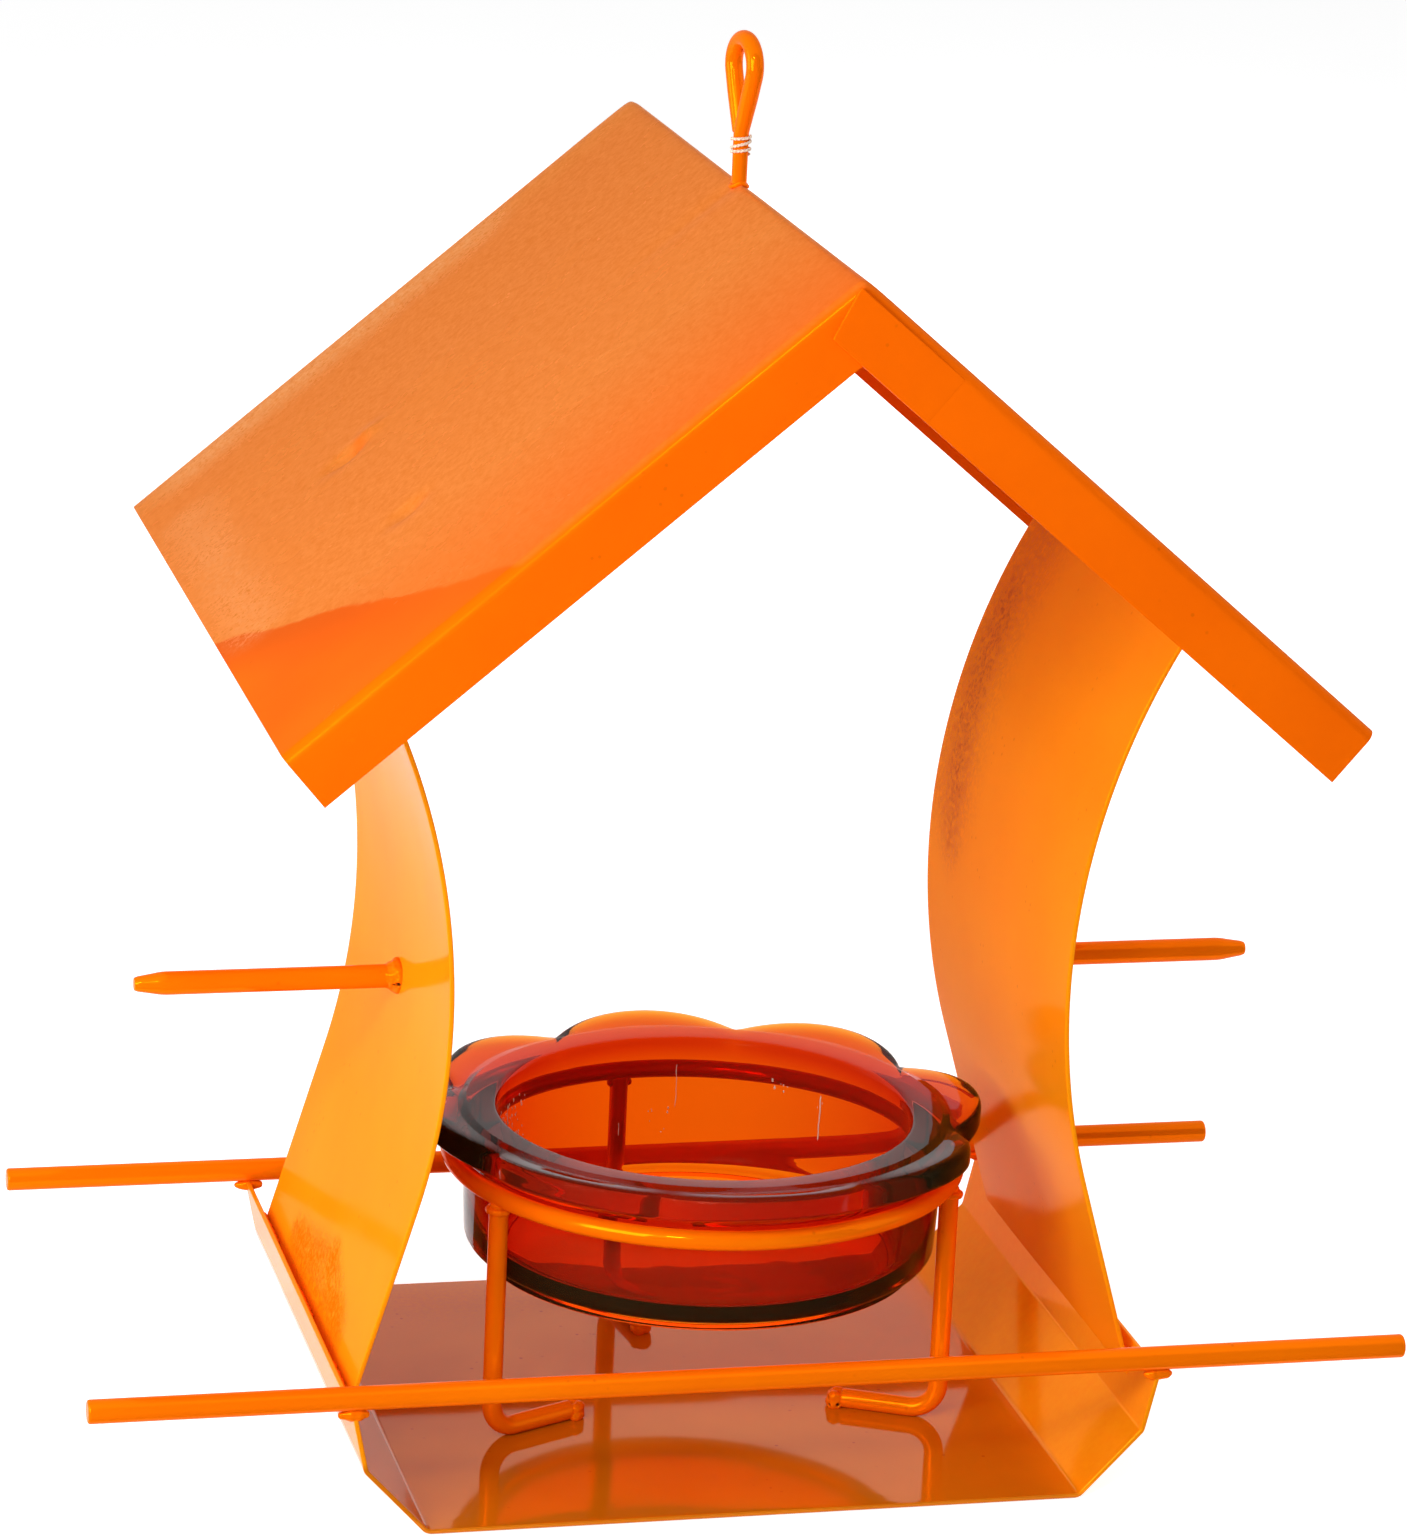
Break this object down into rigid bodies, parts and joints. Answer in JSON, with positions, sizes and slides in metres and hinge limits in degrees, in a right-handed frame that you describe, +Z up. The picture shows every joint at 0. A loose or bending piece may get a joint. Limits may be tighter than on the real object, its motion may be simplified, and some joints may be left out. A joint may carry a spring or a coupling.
{
  "type": "oriole feeder",
  "caption": "Hanging bird feeder with a folded gable roof on waisted side panels, a folded tray with long perch rods, fruit spikes on its sides and a scalloped glass jelly bowl in a wire stand",
  "frame": {"origin": "middle of the tray's underside, which is the middle of the bottom of the object's box", "axes": "X along the perch rods, Y along the ridge with the front at -Y, Z up"},
  "size_m": [0.28, 0.204, 0.2986],
  "materials": {
    "sheet_coat": "glossy orange powder coat on folded steel sheet",
    "wire_coat": "glossy orange powder coat on steel rod and wire",
    "weld_coat": "orange powder coat over small weld beads",
    "amber_glass": "thick amber orange pressed glass",
    "pale_thread": "twisted pale cotton thread"
  },
  "bodies": {
    "frame": {"roof": "sheet_coat", "left_side_panel": "sheet_coat", "right_side_panel": "sheet_coat", "base_tray": "sheet_coat", "front_perch": "wire_coat", "rear_perch": "wire_coat", "left_fruit_spike": "wire_coat", "right_fruit_spike": "wire_coat", "stand_ring": "wire_coat", "stand_leg_rear": "wire_coat", "stand_leg_left": "wire_coat", "stand_leg_right": "wire_coat", "hanging_loop": "wire_coat", "tie_thread": "pale_thread", "perch_welds": "weld_coat", "spike_welds": "weld_coat", "roof_panel_welds": "weld_coat", "tray_panel_welds": "weld_coat", "leg_welds": "weld_coat", "foot_welds": "weld_coat", "loop_weld": "weld_coat"},
    "bowl": {"glass_bowl": "amber_glass"}
  },
  "joints": [
    {"name": "bowl_lift", "type": "slide", "parent": "frame", "child": "bowl", "axis": [0, 0, 1], "range_m": [0, 0.1]}
  ]
}
